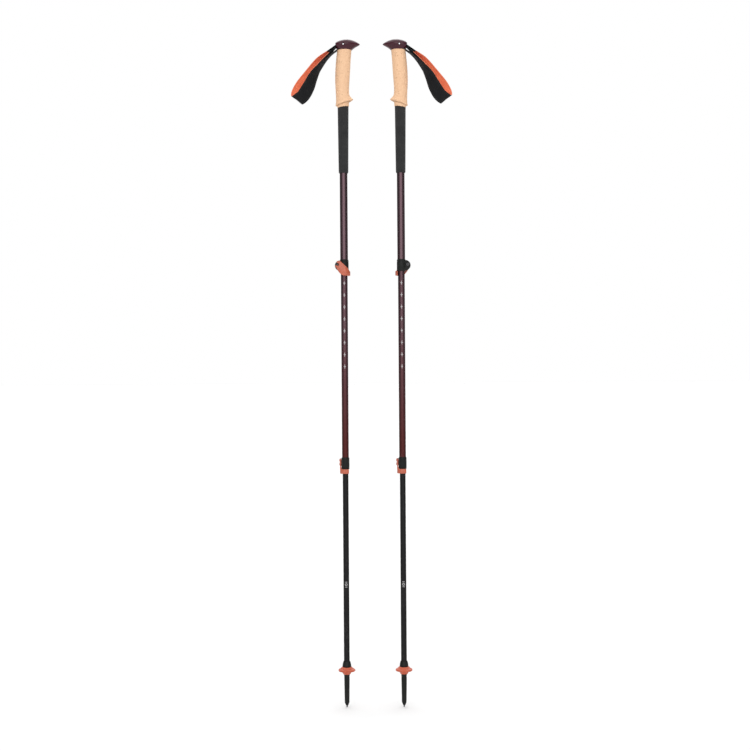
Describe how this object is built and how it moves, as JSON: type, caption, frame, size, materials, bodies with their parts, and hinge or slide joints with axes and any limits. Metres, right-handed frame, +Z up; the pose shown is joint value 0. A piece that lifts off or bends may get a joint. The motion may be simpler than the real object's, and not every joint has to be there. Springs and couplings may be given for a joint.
{
  "type": "trekking pole pair",
  "caption": "Pair of three-section telescoping trekking poles with cork and foam grips, padded wrist straps, lever locks, trail baskets and carbide tips.",
  "frame": {"origin": "on the ground, midway between the two poles' axes", "axes": "+Z up along the poles, +X from the left pole to the right pole, +Y the way that the lower locks' ears point"},
  "size_m": [0.3404, 0.0488, 1.4016],
  "materials": {
    "plum_anodised": "satin anodised, near-black plum that warms to red-brown low on the middle tube",
    "black_anodised": "satin anodised black",
    "plum_head": "glossy moulded plum",
    "cork": "fine-grained agglomerate cork",
    "foam": "closed-cell foam, matte",
    "black_nylon": "moulded, fine texture",
    "orange_alloy": "satin burnt orange",
    "orange_nylon": "moulded burnt orange",
    "steel": "zinc plated",
    "webbing": "woven black webbing",
    "strap_padding": "padded strap, black outside and orange lining",
    "carbide": "sintered carbide"
  },
  "bodies": {
    "left_upper": {"left_head": "plum_head", "left_strap_pin": "steel", "left_strap_anchor": "webbing", "left_strap_wedge": "black_nylon", "left_cork_grip": "cork", "left_grip_core": "black_nylon", "left_foam_sleeve": "foam", "left_upper_tube": "plum_anodised", "left_upper_lock_housing": "black_nylon", "left_upper_lock_bolt": "steel", "left_upper_lock_plate": "steel", "left_upper_lock_barrel": "steel"},
    "left_strap": {"left_wrist_strap": "strap_padding", "left_strap_tail": "webbing"},
    "left_upper_lever": {"left_upper_lock_lever": "orange_alloy"},
    "left_middle_slider": {"left_middle_bush": "black_nylon"},
    "left_middle": {"left_middle_tube": "plum_anodised", "left_lower_lock_housing": "black_nylon", "left_lower_lock_bolt": "steel", "left_lower_lock_plate": "steel", "left_lower_lock_barrel": "steel"},
    "left_lower_lever": {"left_lower_lock_lever": "orange_alloy"},
    "left_lower_slider": {"left_lower_bush": "black_nylon"},
    "left_lower": {"left_lower_tube": "black_anodised", "left_ferrule": "black_nylon", "left_carbide_tip": "carbide"},
    "left_basket_ring": {"left_basket": "orange_nylon"},
    "right_upper": {"right_head": "plum_head", "right_strap_pin": "steel", "right_strap_anchor": "webbing", "right_strap_wedge": "black_nylon", "right_cork_grip": "cork", "right_grip_core": "black_nylon", "right_foam_sleeve": "foam", "right_upper_tube": "plum_anodised", "right_upper_lock_housing": "black_nylon", "right_upper_lock_bolt": "steel", "right_upper_lock_plate": "steel", "right_upper_lock_barrel": "steel"},
    "right_strap": {"right_wrist_strap": "strap_padding", "right_strap_tail": "webbing"},
    "right_upper_lever": {"right_upper_lock_lever": "orange_alloy"},
    "right_middle_slider": {"right_middle_bush": "black_nylon"},
    "right_middle": {"right_middle_tube": "plum_anodised", "right_lower_lock_housing": "black_nylon", "right_lower_lock_bolt": "steel", "right_lower_lock_plate": "steel", "right_lower_lock_barrel": "steel"},
    "right_lower_lever": {"right_lower_lock_lever": "orange_alloy"},
    "right_lower_slider": {"right_lower_bush": "black_nylon"},
    "right_lower": {"right_lower_tube": "black_anodised", "right_ferrule": "black_nylon", "right_carbide_tip": "carbide"},
    "right_basket_ring": {"right_basket": "orange_nylon"}
  },
  "joints": [
    {"name": "left_strap_hinge", "type": "hinge", "parent": "left_upper", "child": "left_strap", "pos_m": [-0.074, 0, 1.384], "axis": [0, 1, 0], "range_deg": [-12, 35], "stiffness_Nm_per_rad": 0.3},
    {"name": "left_upper_lever_hinge", "type": "hinge", "parent": "left_upper", "child": "left_upper_lever", "pos_m": [-0.0733, -0.0094, 0.9287], "axis": [-0.3429, 0, -0.9394], "range_deg": [0, 115]},
    {"name": "left_middle_slide", "type": "slide", "parent": "left_upper", "child": "left_middle_slider", "axis": [0, 0, 1], "range_m": [0, 0.372]},
    {"name": "left_middle_twist", "type": "hinge", "parent": "left_middle_slider", "child": "left_middle", "pos_m": [-0.06, 0, 0.97], "axis": [0, 0, 1], "continuous": true},
    {"name": "left_lower_lever_hinge", "type": "hinge", "parent": "left_middle", "child": "left_lower_lever", "pos_m": [-0.0694, 0.0133, 0.5137], "axis": [0, 0.3429, -0.9394], "range_deg": [0, 115]},
    {"name": "left_lower_slide", "type": "slide", "parent": "left_middle", "child": "left_lower_slider", "axis": [0, 0, 1], "range_m": [0, 0.385]},
    {"name": "left_lower_twist", "type": "hinge", "parent": "left_lower_slider", "child": "left_lower", "pos_m": [-0.06, 0, 0.555], "axis": [0, 0, 1], "continuous": true},
    {"name": "left_basket_off", "type": "slide", "parent": "left_lower", "child": "left_basket_ring", "axis": [0, 0, -1], "range_m": [0, 0.062]},
    {"name": "right_strap_hinge", "type": "hinge", "parent": "right_upper", "child": "right_strap", "pos_m": [0.074, 0, 1.384], "axis": [0, -1, 0], "range_deg": [-12, 35], "stiffness_Nm_per_rad": 0.3},
    {"name": "right_upper_lever_hinge", "type": "hinge", "parent": "right_upper", "child": "right_upper_lever", "pos_m": [0.0733, 0.0094, 0.9287], "axis": [0.3429, 0, -0.9394], "range_deg": [0, 115]},
    {"name": "right_middle_slide", "type": "slide", "parent": "right_upper", "child": "right_middle_slider", "axis": [0, 0, 1], "range_m": [0, 0.372]},
    {"name": "right_middle_twist", "type": "hinge", "parent": "right_middle_slider", "child": "right_middle", "pos_m": [0.06, 0, 0.97], "axis": [0, 0, 1], "continuous": true},
    {"name": "right_lower_lever_hinge", "type": "hinge", "parent": "right_middle", "child": "right_lower_lever", "pos_m": [0.0506, 0.0133, 0.5137], "axis": [0, 0.3429, -0.9394], "range_deg": [0, 115]},
    {"name": "right_lower_slide", "type": "slide", "parent": "right_middle", "child": "right_lower_slider", "axis": [0, 0, 1], "range_m": [0, 0.385]},
    {"name": "right_lower_twist", "type": "hinge", "parent": "right_lower_slider", "child": "right_lower", "pos_m": [0.06, 0, 0.555], "axis": [0, 0, 1], "continuous": true},
    {"name": "right_basket_off", "type": "slide", "parent": "right_lower", "child": "right_basket_ring", "axis": [0, 0, -1], "range_m": [0, 0.062]},
    {"name": "right_pole_apart", "type": "slide", "parent": "left_upper", "child": "right_upper", "axis": [1, 0, 0], "range_m": [0, 0.2]}
  ]
}
